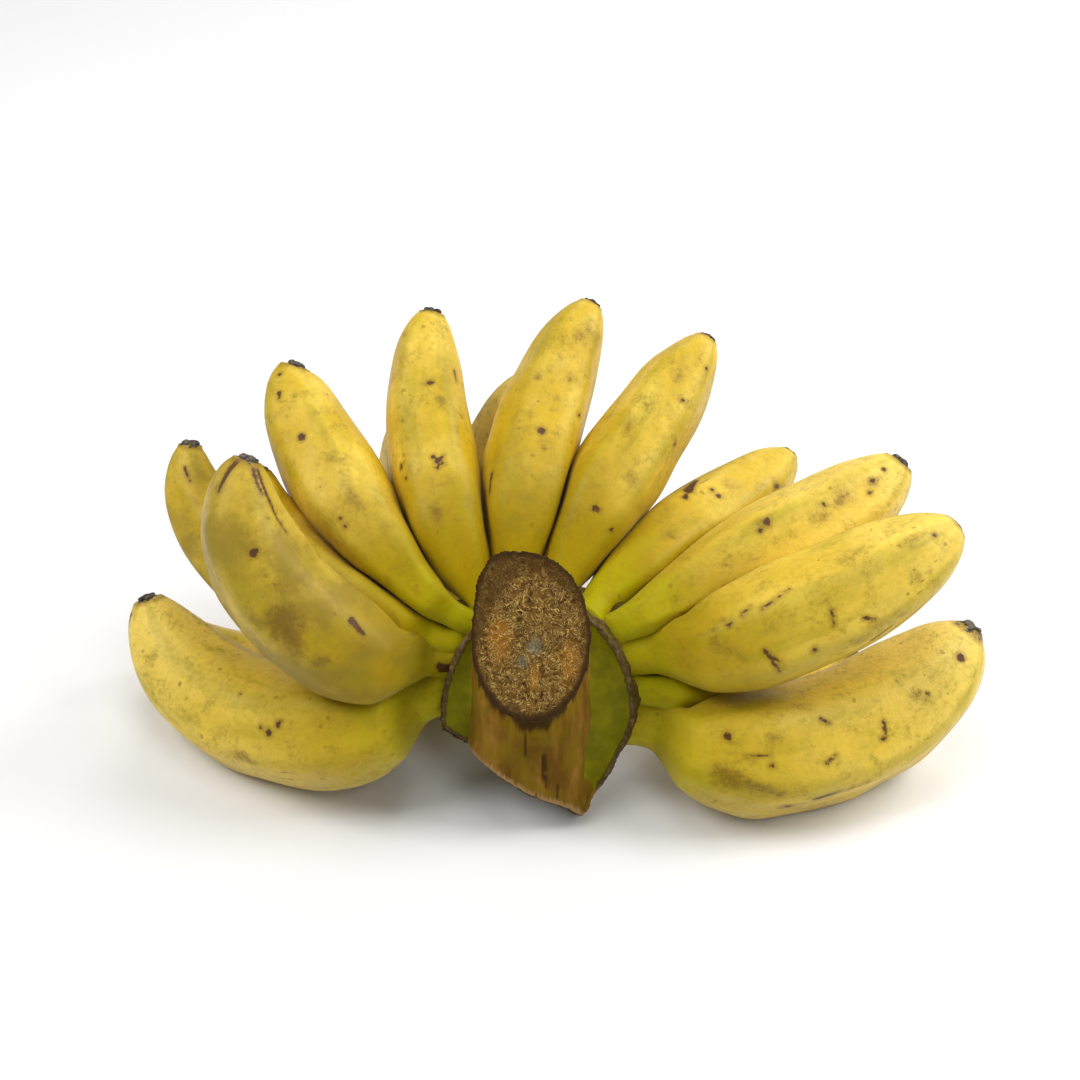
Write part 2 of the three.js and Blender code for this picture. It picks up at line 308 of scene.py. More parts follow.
# What marks the peel of each banana. A mark is the share of the banana's length and the angle in degrees
# (0 faces the viewer, more is to the right on the way to the tip) of one end, the same for its other end
# unless it is round, and its half width in millimetres.
SPOTS = {
    "a1": [(0.73, 3, 0.735, 8, 1.2), (0.97, 38, 0.74, 62, 0.5), (0.97, 22, 0.9, 36, 0.5),
           # The last mark of a1, at its foot, is a painted shadow of the dark hole between the necks of a1
           # and b1.
           (0.975, -38, 0.9, -42, 0.8), (0.37, 36, 0.31, 31, 1.1), (0.02, -46, 0.04, -30, 3.0)],
    "a2": [(0.45, 0, 0.41, 4, 0.3)],
    "a3": [(0.71, -5, 1.1), (0.88, -16, 0.86, -17, 0.6), (0.945, -18, 0.5), (0.42, -20, 0.5),
           (0.445, -18, 0.4), (0.85, 8, 0.3)],
    "a4": [(0.45, 8, 0.9), (0.465, 4, 0.46, 6, 0.7), (0.44, 12, 0.435, 14, 0.6),
           (0.455, 13, 0.46, 15, 0.5), (0.43, 6, 0.425, 7, 0.5), (0.715, 12, 0.72, 17, 0.8),
           (0.47, -42, 0.48, -42, 0.6), (0.43, -38, 0.4), (0.78, 58, 0.74, 60, 0.4)],
    "a5": [(0.5, 5, 1.1), (0.36, -50, 0.3, -52, 0.4), (0.6, 48, 0.5), (0.66, -20, 0.4), (0.45, 14, 0.3)],
    "a6": [(0.3, -5, 0.3, 2, 0.9), (0.74, 18, 0.5), (0.62, 45, 0.6), (0.27, 30, 0.6), (0.88, 30, 0.4)],
    "a7": [(0.52, -52, 0.58, -62, 1.3), (0.49, -46, 0.5, -48, 0.9), (0.58, -33, 0.6), (0.58, -20, 0.8),
           (0.79, 17, 0.8, 20, 0.8)],
    "a8": [(0.52, -33, 0.53, -36, 1.0), (0.49, -28, 0.5, -30, 0.5), (0.7, -22, 0.6), (0.93, -20, 0.6),
           (0.87, -16, 0.88, -16, 0.7), (0.84, -4, 0.5)],
    "a9": [(0.41, -24, 0.5, -32, 0.35), (0.355, -27, 0.385, -31, 0.3), (0.31, -22, 0.32, -24, 0.6),
           (0.375, 14, 0.39, 38, 0.5), (0.385, 22, 0.4, 30, 0.4), (0.575, 4, 0.56, 20, 0.4),
           (0.64, 26, 0.665, 34, 0.5), (0.494, 33, 0.6), (0.64, 60, 0.7, 57, 0.7), (0.9, -14, 0.6),
           (0.3, -30, 0.3)],
    "b1": [(0.955, -50, 0.86, -62, 0.6), (0.965, -46, 0.7), (0.385, -6, 0.385, -4, 1.1),
           (0.36, 2, 0.35, 6, 0.9), (0.41, -2, 0.41, 0, 0.5), (0.5, 25, 0.4), (0.79, -64, 0.77, -62, 0.9)],
    "b3": [(0.93, 5, 0.89, 14, 0.4)],
    "b7": [(0.92, 0, 1.1), (0.625, -4, 0.61, 10, 0.7), (0.6, 9, 0.612, 11, 0.5),
           (0.45, -25, 0.475, -20, 0.5), (0.2, -16, 0.205, -12, 1.0), (0.44, 15, 0.47, 10, 0.5),
           (0.3, 12, 0.7), (0.24, 5, 0.3, 2, 0.3), (0.78, -2, 0.6), (0.36, 60, 0.37, 66, 0.8),
           (0.42, 50, 0.47, 47, 0.9)],
}
BRUISES = {
    "a1": [(0.52, -12, 0.44, -25, 5.6), (0.38, -22, 0.36, -15, 1.6), (0.6, 12, 0.8), (0.58, 34, 0.7),
           (0.56, -36, 0.6, -40, 1.2)],
    "a3": [(0.48, 10, 0.44, 12, 1.5), (0.6, 15, 1.2)],
    "a4": [(0.66, 25, 0.63, 22, 1.3), (0.9, -46, 0.7), (0.3, -10, 0.27, -14, 1.5)],
    "a5": [(0.85, 12, 0.88, 20, 2.0), (0.8, -8, 0.83, -12, 1.2), (0.7, 22, 1.0)],
    "a6": [(0.58, -25, 0.56, -22, 1.8), (0.45, 18, 0.42, 26, 1.4), (0.8, -8, 1.4)],
    "a7": [(0.79, 18, 0.83, 30, 1.3), (0.35, -15, 1.5), (0.64, -26, 0.66, -20, 1.2)],
    "a8": [(0.76, -20, 0.73, -14, 2.4), (0.66, -14, 0.69, -8, 1.7), (0.375, -24, 0.36, -16, 0.7),
           (0.5, -33, 0.54, -38, 1.6), (0.88, -14, 0.85, -10, 1.4), (0.2, -4, 0.2, 2, 0.7)],
    "a9": [(0.82, -22, 0.88, -24, 0.9), (0.66, -36, 0.72, -40, 0.8), (0.26, -10, 0.3, 6, 1.2),
           (0.6, 44, 0.68, 40, 1.0), (0.8, 20, 0.8, 24, 1.4)],
    "b1": [(0.83, -6, 0.85, 8, 0.9), (0.48, -32, 0.44, -36, 1.8), (0.55, -20, 0.5, -12, 0.6),
           (0.72, -62, 0.66, -58, 1.2)],
    "b7": [(0.44, 52, 0.54, 46, 2.0), (0.75, -8, 0.77, 2, 1.4), (0.39, -42, 0.42, -40, 1.0),
           (0.2, 26, 0.32, 38, 3.4), (0.3, -10, 0.33, -14, 1.2), (0.35, 60, 0.42, 62, 1.8)],
}
# About where one of the five ridges of a banana is: its angle in degrees, as for the marks.
RIDGES = {"a1": 30, "a3": -28, "a4": -38, "a5": -35, "a6": -38, "a7": 10, "a8": 28, "a9": -25, "b1": -45,
          "b7": -32}
# How pale the whole peel of a banana is, where it is paler than the others: partly its own paler peel, partly
# painted light on bananas that lie in shade, such as b4 and b5.
FAIR_AND_PAINTED_LIGHT = {"b7": 1.0, "b1": 0.9, "a8": 0.6, "a9": 0.45, "b4": 1.0, "b5": 1.0}
# How browned the whole peel of a banana is, where that isn't the usual amount.
TAN = {"a1": 0.95, "b3": 0.75, "b1": 0.15, "a3": 0.35, "a4": 0.35, "a5": 0.4, "a6": 0.3}
USUAL_TAN = 0.1
# The bananas on the ground, whose undersides are paler; the undersides of the others get painted shade.
RESTING = ("b1", "b2", "b4", "b5", "b6", "b7")
# How grey the dried blossom end of a banana is.
WITHERED = {"b7": 1.0, "a1": 0.4}
# How green the neck of a banana is, where that isn't the usual amount.
GREEN = {"a1": 0.35, "a3": 0.9, "a4": 0.15, "a5": 0.05, "a6": 0.1, "a7": 0.7, "a8": 0.8, "a9": 0.5,
         "b6": 0.9, "b7": 0.5}
USUAL_GREEN = 0.6


def ridge_pattern(angles, first, seed):
    """A soft outline with five ridges, one near the first angle: up to 1 on them, -0.4 between them."""
    chance = np.random.default_rng(seed)
    places = (np.arange(5) + chance.uniform(-0.12, 0.12, 5)) * 2 * math.pi / 5 + first
    heights = chance.uniform(0.65, 1.0, 5)
    away = np.cos(angles[:, None] - places)
    return (np.exp(RIDGE_SHARPNESS * 4 * (away - 1)) * heights).sum(1) * 1.4 - 0.4


def banana_rows():
    """The places of the rows along a banana, as shares of its peel: closer together towards both ends."""
    even = np.linspace(0, 1, ROWS)
    return even - 0.055 * np.sin(4 * math.pi * even) / 2 - 0.03 * np.sin(2 * math.pi * even)


def from_marks(marks, along, turn, radius, length):
    """The distance from each point to the nearest mark's edge: millimetres, less than 0 inside, 9 at most."""
    nearest = np.full(len(along), 9.0)
    for *ends, half in marks:
        share, degrees, last_share, last_degrees = ends if len(ends) == 4 else ends * 2
        across = (turn - math.radians(degrees) + math.pi) % (2 * math.pi) - math.pi
        place = np.stack([along - share * length, across * radius], 1)
        reach = np.stack([np.full(len(along), (last_share - share) * length),
                          math.radians(last_degrees - degrees) * radius], 1)
        part = np.clip((place * reach).sum(1) / ((reach * reach).sum(1) + 1e-9), 0, 1)
        taper = half * (1 - 0.6 * part)
        nearest = np.minimum(nearest, np.linalg.norm(place - part[:, None] * reach, axis=1) / MM - taper)
    return nearest


def eased(rings, values, inside, stretch, first=0):
    """Values of the rings at some places, each evened out near the neck over a stretch on both sides."""

    def read(places):
        return spline(rings.places, values, np.clip(places, rings.places[first], rings.length))

    steps = np.linspace(-1, 1, 13)
    weights = np.cos(steps * math.pi / 2)
    mean = sum(w * read(inside + step * stretch) for step, w in zip(steps, weights)) / weights.sum()
    near_neck = (smooth(0.6, 0.4, inside / rings.length) * smooth(0, HELD_FOOT, inside))[:, None]
    return read(inside) * (1 - near_neck) + mean * near_neck


def eased_line(key, rings, at):
    """The centre line of a banana at some places, with the direction of its tops and its own direction."""
    inside = np.clip(at, 0, None)
    easing = NECK_EASING.get(key, USUAL_NECK_EASING)
    centres = eased(rings, rings.centres, inside, easing)
    centres += np.minimum(at, 0)[:, None] * rings.tangents[0]
    tops = unit(eased(rings, rings.tops, inside, easing))
    tangents = unit(eased(rings, rings.tangents, inside, easing))
    return centres, tops, tangents


def eased_radii(key, rings, at, ridges):
    """The radii of a banana's rows, with its flared foot, its ridges and its dried end."""
    shares = at / rings.length
    easing = NECK_EASING.get(key, USUAL_NECK_EASING)
    radii = eased(rings, rings.radii, np.clip(at, 0, None), easing, 1)
    radii[0] *= ROOT_END
    flare = 1 + ROOT_FLARE * np.exp(-np.clip(shares, 0, 1) / ROOT_FLARE_SHARE)
    strength = RIDGE_HEIGHT * smooth(0.03, 0.2, shares) * smooth(1.0, 0.85, shares)
    radii *= flare[:, None] * (1 + strength[:, None] * ridges)
    radii[ROWS:] = CAP_RINGS[:, 1, None]
    return radii


def moved_back(key, rows, at, wing):
    """How far each row of a banana is moved back, so that its foot is behind the plane of the wings."""
    start, end = FOOT_STRETCH.get(key, USUAL_FOOT_STRETCH)
    in_front = np.clip(wing.height(rows).max(1) + BEHIND_WING, 0, None)
    return (smooth(end, start, at) * in_front)[:, None] * wing.normal


def roughen_cap(key, points, out, tangents, seed):
    """Make the dried end of a banana ragged: its points move outwards and along the banana."""
    cap = slice(ROWS * SIDES, None)
    rough = CAP_ROUGHNESS.get(key, USUAL_CAP_ROUGHNESS)
    ragged = grain(points[cap] + seed, 1.8 * MM) * rough
    lift = np.minimum(grain(points[cap] - seed, 1.6 * MM) * rough, rough / 2) + rough - USUAL_CAP_ROUGHNESS
    points[cap] += out[cap] * ragged[:, None] + np.repeat(tangents, SIDES, 0)[cap] * lift[:, None]


def make_banana(key, rings, wing, seed):
    angles = np.arange(SIDES) * 2 * math.pi / SIDES
    body = banana_rows() * (rings.length - CAP_LENGTH)
    body[0] = -ROOT_DEPTH
    at = np.concatenate([body, rings.length - CAP_RINGS[:, 0]])
    shares = at / rings.length
    ridges = ridge_pattern(angles, math.radians(RIDGES.get(key, 19 * seed)), seed)
    centres, tops, tangents = eased_line(key, rings, at)
    radii = eased_radii(key, rings, at, ridges)

    sides = unit(np.cross(tangents, tops))
    outwards = np.cos(angles)[None, :, None] * tops[:, None] + np.sin(angles)[None, :, None] * sides[:, None]
    points = (centres[:, None] + radii[:, :, None] * outwards).reshape(-1, 3)
    out = outwards.reshape(-1, 3)
    on_body = np.repeat(smooth(0.05, 0.25, shares) * smooth(0.97, 0.85, shares), SIDES)
    points = points + out * (waves(points, DENT_SIZE, seed + 50) * DENT_HEIGHT * on_body)[:, None]
    back = moved_back(key, points.reshape(-1, SIDES, 3), at, wing)
    points -= np.repeat(back, SIDES, 0)
    centres -= back
    roughen_cap(key, points, out, tangents, seed)
    points = np.concatenate([points, [centres[0], centres[-1]]])
    obj = add_mesh("banana_" + key, points, tube_faces(len(at), SIDES))

    along, around_it, radius = np.repeat(at, SIDES), np.tile(angles, len(at)), radii.ravel()
    straight = np.stack([radius * np.cos(around_it), radius * np.sin(around_it), along], 1)
    fields = {"share": along / rings.length, "from_tip": (rings.length - along) / MM,
              "straight": straight + [seed * 0.37, 0, 0], "ridge": np.tile(ridges, len(at)),
              "below": smooth(0.1, -0.8, out[:, 2])}
    for kind, table in {"spot": SPOTS, "bruise": BRUISES}.items():
        fields[kind] = from_marks(table.get(key, []), along, around_it, radius, rings.length)
    for field, values in fields.items():
        # The two points at the ends take the values of the first and the last point of the rings.
        add_attribute(obj, field, np.concatenate([values, values[:1], values[-1:]]))
    return obj


def tube_faces(rows, sides):
    """Quads of a tube of rings, closed by a fan at each end to the two points that follow the rings."""
    i = np.arange(sides)
    j = (i + 1) % sides
    start = (np.arange(rows - 1) * sides)[:, None]
    quads = np.stack([start + i, start + j, start + sides + j, start + sides + i], -1).reshape(-1, 4)
    foot, tip = rows * sides, rows * sides + 1
    last = (rows - 1) * sides
    foot_fan = [[foot, b, a] for a, b in zip(i, j)]
    tip_fan = [[tip, last + a, last + b] for a, b in zip(i, j)]
    return quads.tolist() + foot_fan + tip_fan


def add_mesh(name, points, faces):
    """A smooth mesh, kept inside the box of the solids."""
    low, high = (np.array(corner) for corner in cad_box)
    mesh = bpy.data.meshes.new(name)
    mesh.from_pydata(np.clip(points, low, high).tolist(), [], faces)
    mesh.shade_smooth()
    obj = bpy.data.objects.new(name, mesh)
    bpy.context.scene.collection.objects.link(obj)
    return obj


def add_attribute(obj, name, values):
    kind, field = ("FLOAT", "value") if values.ndim == 1 else ("FLOAT_VECTOR", "vector")
    attribute = obj.data.attributes.new(name, kind, "POINT")
    attribute.data.foreach_set(field, values.astype(np.float32).ravel())


# ---- the crown


class FlatFace:
    """The largest flat face of a solid that faces roughly one way: its plane and the edges of its outline."""

    def __init__(self, points, triangles, facing):
        corners = points[triangles]
        cross = np.cross(corners[:, 1] - corners[:, 0], corners[:, 2] - corners[:, 0])
        size = np.linalg.norm(cross, axis=1)
        normals = cross / size[:, None]
        best = np.argmax(size * np.clip(normals @ unit(np.array(facing)), 0, 1) ** 12)
        self.normal = normals[best]
        self.offset = self.normal @ corners[best, 0]
        level = np.abs(corners @ self.normal - self.offset).max(1) < 0.02 * MM
        edges = np.concatenate([triangles[level][:, pair] for pair in ([0, 1], [1, 2], [2, 0])])
        ends, counts = np.unique(np.sort(edges, 1), axis=0, return_counts=True)
        self.outline = points[ends[counts == 1]]

    def height(self, points):
        return points @ self.normal - self.offset


def distance_to_edges(points, edges):
    """The distance from each point to the nearest of some straight edges."""
    nearest = np.full(len(points), np.inf)
    for start, end in edges:
        along = end - start
        share = np.clip((points - start) @ along / (along @ along), 0, 1)
        nearest = np.minimum(nearest, np.linalg.norm(points - start - share[:, None] * along, axis=1))
    return nearest


def web_balls(stems, wing):
    """The middles of the balls that fill the corners between neighbouring necks."""
    middles = []
    for pair in WEBS:
        one, other = (stems[key] for key in pair.split())
        reach = WEB_REACH.get(pair, USUAL_WEB_REACH)
        for share in np.linspace(0, 1, WEB_STEPS):
            for across in np.linspace(0.1, 0.9, WEB_STEPS):
                at = np.array([reach * share * (1 - 1.6 * across * (1 - across))])
                ends = [spline(rings.places, rings.centres, at)[0] for rings in (one, other)]
                middle = ends[0] * (1 - across) + ends[1] * across
                in_front = max(0, wing.height(middle) + WEB_DEPTH + WEB_RADIUS)
                moved = smooth(WEB_STRETCH[1], WEB_STRETCH[0], at[0]) * in_front
                middles.append(middle - wing.normal * moved)
    return middles


def with_balls(points, triangles, middles):
    """A net of points and triangles with a small ball put round each of some places."""
    ball = bmesh.new()
    bmesh.ops.create_icosphere(ball, subdivisions=2, radius=WEB_RADIUS)
    shell = np.array([v.co for v in ball.verts])
    faces = np.array([[v.index for v in f.verts] for f in ball.faces])
    ball.free()
    starts = len(points) + len(shell) * np.arange(len(middles))
    all_points = np.concatenate([points, (np.array(middles)[:, None] + shell).reshape(-1, 3)])
    return all_points, np.concatenate([triangles, (starts[:, None, None] + faces).reshape(-1, 3)])


def remeshed(points, triangles):
    """The outside of a net of triangles as an even net of quads: its points, their normals and its faces."""
    rough = bpy.data.meshes.new("rough")
    rough.from_pydata(points.tolist(), [], triangles.tolist())
    source = bpy.data.objects.new("rough", rough)
    bpy.context.scene.collection.objects.link(source)
    remesh = source.modifiers.new("remesh", "REMESH")
    remesh.mode = "VOXEL"
    remesh.voxel_size = CROWN_VOXEL
    relax = source.modifiers.new("relax", "SMOOTH")
    relax.iterations = CROWN_SMOOTHING
    mesh = bpy.data.meshes.new_from_object(source.evaluated_get(bpy.context.evaluated_depsgraph_get()))
    bpy.data.objects.remove(source)
    found = np.array([v.co for v in mesh.vertices])
    return found, np.array([v.normal for v in mesh.vertices]), [p.vertices[:] for p in mesh.polygons]


def relaxed(points, faces, share, times):
    """The points moved towards the middle of their neighbours, each by its own share, some times over."""
    quads = np.array(faces)
    edges = np.concatenate([quads[:, [i, (i + 1) % 4]] for i in range(4)])
    one, other = edges[:, 0], edges[:, 1]
    size = len(points)
    count = np.bincount(one, minlength=size) + np.bincount(other, minlength=size)
    for _ in range(times):
        total = np.stack([np.bincount(one, points[other, k], size) + np.bincount(other, points[one, k], size)
                          for k in range(3)], 1)
        points = points + share[:, None] * (total / count[:, None] - points)
    return points


def height_above(points, solid):
    """How far each point is outside a solid."""
    tree = BVHTree.FromPolygons(solid[0].tolist(), solid[1].tolist())
    heights = []
    for point in points:
        place, normal, _, _ = tree.find_nearest(Vector(point))
        heights.append((Vector(point) - place).dot(normal))
    return np.array(heights)


def near_necks(points, stems):
    """How far each point is outside the nearest neck, and how far along that neck."""
    outside, along = np.full(len(points), np.inf), np.zeros(len(points))
    for rings in stems.values():
        for at in np.arange(0, 20, 1.5) * MM:
            centre = spline(rings.places, rings.centres, np.array([at]))[0]
            away = np.linalg.norm(points - centre, axis=1) - rings.radii[1].mean()
            along = np.where(away < outside, at, along)
            outside = np.minimum(outside, away)
    return outside, along


def inside_patches(patches, right, up):
    """How far inside the nearest of some oval patches of the sawn face a point is: 1 is in its middle."""
    found = np.zeros(len(right))
    for (x, y), (half_x, half_y) in patches:
        found = np.maximum(found, 1 - np.hypot((right - x) / half_x, (up - y) / half_y))
    return found


class CrownNet:
    """The fine surface of the crown: its points, where they are, and what they belong to, from 0 to 1."""

    def __init__(self, wing, stems):
        solid = welded("crown")
        self.wing = wing
        self.cut = FlatFace(*solid, CUT_FACING)
        self.foot = FlatFace(*solid, FOOT_FACING)
        points, self.normals, self.faces = remeshed(*with_balls(*solid, web_balls(stems, wing)))
        self.web = smooth(0.3 * MM, 1.6 * MM, height_above(points, solid))
        self.points = relaxed(points, self.faces, self.web, WEB_SMOOTHING)
        self.measure_stalk()
        self.measure_wings()
        self.outside, self.along_neck = near_necks(self.points, stems)

    def measure_stalk(self):
        points, cut = self.points, self.cut
        middle = (cut.outline.min((0, 1)) + cut.outline.max((0, 1))) / 2
        self.axis = middle * (1, 1, 0)
        self.radius = np.ptp(cut.outline[:, :, 0]) / 2
        self.rise = np.cross(cut.normal, (1, 0, 0))
        self.half_height = np.ptp(cut.outline @ self.rise) / 2
        self.flat = (points - self.axis) * (1, 1, 0)
        out_of_axis = np.linalg.norm(self.flat, axis=1)
        self.turn = np.arctan2(self.flat[:, 0], -self.flat[:, 1])
        self.right = (points - middle)[:, 0] / self.radius
        self.up = (points - middle) @ self.rise / self.half_height
        self.from_middle = np.hypot(self.right, self.up)
        self.from_lip = distance_to_edges(points, cut.outline)
        self.bark = np.stack([self.turn * self.radius * BARK_SQUEEZE, out_of_axis, points[:, 2]], 1)
        self.on_stalk = smooth(self.radius + 1.2 * MM, self.radius + 0.4 * MM, out_of_axis)
        self.on_cut = smooth(-1.2 * MM, -0.2 * MM, cut.height(points)) * self.on_stalk
        self.on_foot = smooth(-0.9 * MM, -0.2 * MM, self.foot.height(points))
        self.skin = self.on_stalk * (1 - self.on_cut) * (1 - self.on_foot)

    def measure_wings(self):
        outline = self.wing.outline
        edge_middles = (outline[:, 0] + outline[:, 1]) / 2
        out_of_axis = np.linalg.norm((edge_middles - self.axis) * (1, 1, 0), axis=1)
        from_scar = distance_to_edges(self.points, outline[out_of_axis > self.radius + 1.0 * MM])
        self.on_wing = smooth(-1.0 * MM, -0.2 * MM, self.wing.height(self.points)) * (1 - self.on_stalk)
        outer_side = (1 - self.on_wing) * (1 - self.on_stalk) * (1 - self.web)
        to_right = smooth(0, 6 * MM, self.flat[:, 0])
        groove_place = GROOVE_PLACES[0] + to_right * (GROOVE_PLACES[1] - GROOVE_PLACES[0])
        self.groove = ridge(from_scar, groove_place, 0.65 * SCAR_WIDTH) * outer_side
        self.scar = ridge(from_scar, 0, SCAR_WIDTH) * (1 - self.skin) * (1 - self.on_cut) * (1 - self.web)
        self.scar *= 1 - self.groove
        self.second = ridge(from_scar, SECOND_RIDGE_PLACE, 0.8 * SCAR_WIDTH) * outer_side * to_right
        lowest = outline.reshape(-1, 3)[np.argmin(outline.reshape(-1, 3)[:, 2])]
        self.from_scar = from_scar
        self.from_lowest = np.linalg.norm(self.points - lowest, axis=1)


def ridge(away, place, width):
    """1 where the distance is that of the place, and falling off over the width on both sides of it."""
    return np.exp(-(((away - place) / width) ** 2))


def slits(net):
    """Which points are in one of the slits of the stalk's skin."""
    found = np.zeros(len(net.points))
    height = net.points[:, 2]
    for degrees, lowest, highest, half in SLITS:
        beside = np.abs(net.turn - math.radians(degrees)) * net.radius
        beyond_end = np.maximum(np.maximum(lowest - height, height - highest), 0)
        found = np.maximum(found, smooth(half * 1.6, half * 0.4, np.hypot(beside, beyond_end * 0.3)))
    return found * net.skin


def collars(net):
    """Which points are close round the foot of a neck, behind the wings."""
    near = smooth(COLLAR_REACH, -0.5 * MM, net.outside) * (1 - np.maximum(net.skin, net.on_cut))
    return near * (1 - net.on_wing) * smooth(0.2 * MM, -1.5 * MM, net.wing.height(net.points))


def crown_relief(net, slit, collar):
    """How far each point of the crown is pushed outwards."""
    points, from_lip, on_cut, skin = net.points, net.from_lip, net.on_cut, net.skin
    push = net.scar * SCAR_HEIGHT * (1 + 0.15 * waves(points, 9 * MM, 3)) - net.groove * GROOVE_DEPTH
    push += net.second * SECOND_RIDGE_HEIGHT * (1 + 0.3 * waves(points, 6 * MM, 4))
    push -= net.on_wing * (1 - net.scar) * smooth(0, 5 * MM, net.from_scar) * WING_HOLLOW
    under_lip = skin * smooth(7.5 * MM, 2.2 * MM, from_lip) * smooth(0.4 * MM, 1.6 * MM, from_lip)
    push -= under_lip * LIP_RECESS * smooth(0.0, 1.0, np.cos(net.turn))
    push += skin * FIBRE_HEIGHT * (waves(net.bark, 22 * MM, 7) + grain(net.bark, 12 * MM))
    push += on_cut * CUT_ROUGHNESS * grain(points, 1.4 * MM)
    push += on_cut * smooth(1.6 * MM, 0.3 * MM, from_lip) * LIP_HEIGHT * (1 + 0.5 * waves(points, 7 * MM, 5))
    push -= on_cut * smooth(1.8 * MM, 3.0 * MM, from_lip) * CUT_HOLLOW
    push += net.on_foot * FOOT_ROUGHNESS * grain(points, 2.0 * MM)
    push -= slit * SLIT_DEPTH
    swollen = collar * smooth(6 * MM, 1 * MM, net.along_neck)
    return push + swollen * COLLAR_HEIGHT * (1 - net.scar) * (1 - net.web)


def crown_shift(net):
    """How far each point of the crown is moved besides: at the upper left lip and the foot of the stalk, at
    the right rim and at the torn lower corner."""
    turned = np.degrees(np.arctan2(net.up, net.right))
    corner = ridge(turned, CORNER_TURN, 24) * smooth(0.55, 1.0, net.from_middle)
    corner *= smooth(-11 * MM, -1 * MM, net.cut.height(net.points)) * net.on_stalk
    rightwards = net.right[:, None] * net.radius * TO_RIGHT
    outwards = unit(rightwards + (net.up * net.half_height)[:, None] * net.rise)
    low = smooth(36 * MM, 18 * MM, net.points[:, 2])
    flare = ridge(np.degrees(net.turn), FLARE_TURN, 30) * low * net.skin
    tuck = smooth(12 * MM, 22 * MM, net.flat[:, 0]) * smooth(34 * MM, 18 * MM, net.points[:, 2])
    shift = outwards * (corner * CORNER_REACH)[:, None] - TO_RIGHT * (flare * FLARE_REACH)[:, None]
    shift -= TO_RIGHT * (tuck * TUCK)[:, None]
    return shift + ridge(net.from_lowest, 0, TORN_SIZE)[:, None] * TORN_REACH


def make_crown(wing, stems):
    net = CrownNet(wing, stems)
    slit = slits(net)
    collar = collars(net)
    moved = net.points + net.normals * crown_relief(net, slit, collar)[:, None] + crown_shift(net)
    obj = add_mesh("stalk_and_crown", relaxed(moved, net.faces, np.full(len(moved), 0.5), 2), net.faces)

    near_torn = smooth(12 * MM, 7 * MM, net.from_lowest)
    skin = np.maximum(net.skin, (1 - net.on_cut) * (1 - net.on_foot) * near_torn)
    upper_left = smooth(-0.3, 0.4, net.up) * smooth(-0.1, -0.6, net.right)
    rim = 1 - net.from_middle
    fields = {
        "cut": net.on_cut,
        "skin": skin,
        "foot": net.on_foot,
        "wing": net.on_wing,
        "scar": np.maximum(net.scar, net.second) * (1 - skin),
        "groove": net.groove,
        "collar": collar * (1 - net.web),
        "slit": slit,
        "bark": net.bark,
        "from_lip": net.from_lip / MM,
        "from_foot": -net.foot.height(net.points) / MM,
        "across": net.right,
        "rim": rim,
        "browned": 0.1 + 0.17 * smooth(0.2, 0.9, net.up) + 0.17 * upper_left - rim,
        "orange": inside_patches(ORANGE_PATCHES, net.right, net.up),
        "mould": inside_patches(MOULD_PATCHES, net.right, net.up),
    }
    for key, values in fields.items():
        add_attribute(obj, key, values)
    return obj


# ---- materials


class Nodes:
    """Short ways to add nodes to a material's tree. Each value is a constant or another node's output."""

    def __init__(self, name):
        self.material = bpy.data.materials.new(name)
        self.material.use_nodes = True
        self.tree = self.material.node_tree
        self.surface = self.tree.nodes["Principled BSDF"]

    def plug(self, socket, value):
        if isinstance(value, bpy.types.NodeSocket):
            self.tree.links.new(value, socket)
        else:
            socket.default_value = value

    def add(self, kind, values, **settings):
        node = self.tree.nodes.new("ShaderNode" + kind)
        for key, value in settings.items():
            setattr(node, key, value)
        for key, value in values.items():
            self.plug(node.inputs[key], value)
        return node

    def attribute(self, name, output="Fac"):
        return self.add("Attribute", {}, attribute_name=name).outputs[output]

    def math(self, operation, a, b=0.0):
        return self.add("Math", {0: a, 1: b}, operation=operation).outputs[0]

    def ramp(self, value, low, high, to_low=0.0, to_high=1.0):
        values = {"Value": value, "From Min": low, "From Max": high, "To Min": to_low, "To Max": to_high}
        return self.add("MapRange", values, interpolation_type="SMOOTHSTEP").outputs[0]

    def times(self, a, b):
        return self.math("MULTIPLY", a, b)

    def plus(self, a, b, factor=1.0):
        """The first value, and the second one so many times."""
        return self.math("ADD", a, b if factor == 1.0 else self.times(b, factor))

    def cover(self, tone, shade, share, most=1.0):
        """The tone covered by the shade as far as the share says, and so much at the most."""
        share = share if most == 1.0 else self.times(share, most)
        return self.add("Mix", {0: share, 6: tone, 7: shade}, data_type="RGBA").outputs[2]

    def scaled(self, vector, scale):
        return self.add("Mapping", {"Vector": vector, "Scale": scale}).outputs[0]

    def noise(self, vector, size, detail=3.0, roughness=0.5):
        values = {"Vector": vector, "Scale": 1 / size, "Detail": detail, "Roughness": roughness}
        return self.add("TexNoise", values).outputs[0]

    def uneven(self, vector, size, amount, detail=3.0, roughness=0.5):
        """Noise round 0, this many times."""
        around_0 = self.math("SUBTRACT", self.noise(vector, size, detail, roughness), 0.5)
        return self.times(around_0, amount)

    def bump(self, height, depth):
        values = {"Height": height, "Distance": depth, "Strength": 1.0}
        self.plug(self.surface.inputs["Normal"], self.add("Bump", values).outputs[0])


def colour(red, green, blue):
    return (red, green, blue, 1.0)


